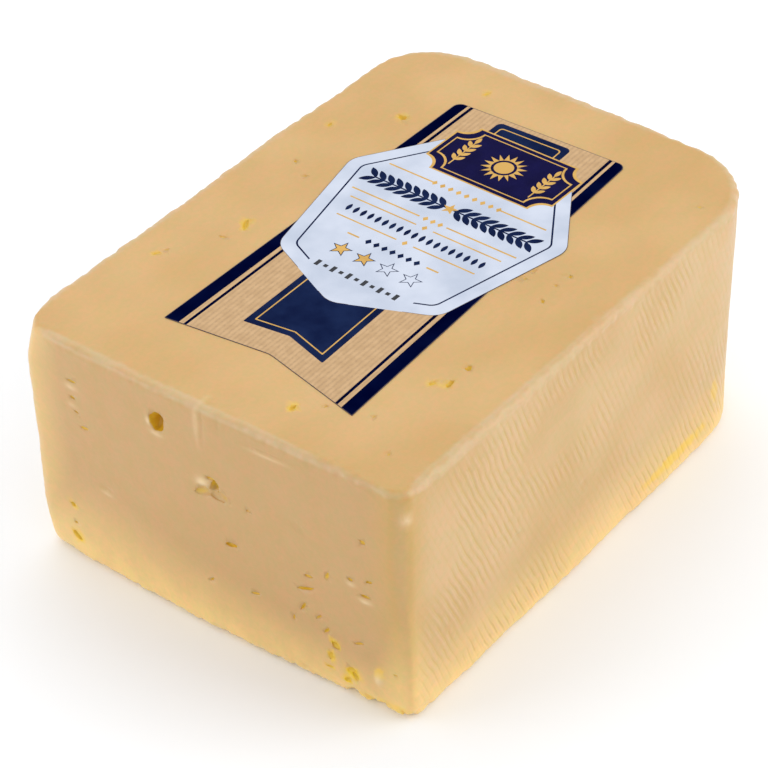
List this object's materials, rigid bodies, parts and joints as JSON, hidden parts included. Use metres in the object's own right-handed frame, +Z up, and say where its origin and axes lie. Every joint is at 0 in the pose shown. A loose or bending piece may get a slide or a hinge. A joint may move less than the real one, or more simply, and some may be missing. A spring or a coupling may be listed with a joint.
{
  "type": "block of cheese",
  "caption": "Rectangular block of pale yellow semi-hard cheese, cut across at one end and round-cornered at the other, with a flat paper label on its top.",
  "frame": {"origin": "on the surface the block stands on, below the middle of its outline", "axes": "+X along the block's length from the cut end to the far end, +Y from the cloth-marked long side to the opposite long side, +Z up towards the label"},
  "size_m": [0.1532, 0.1108, 0.0684],
  "materials": {
    "cheese": null,
    "label": "thin coated paper, printed in tan, dark blue and pale silver blue with a little gold"
  },
  "bodies": {
    "root": {"cheese": "cheese", "label": "label"}
  },
  "joints": []
}
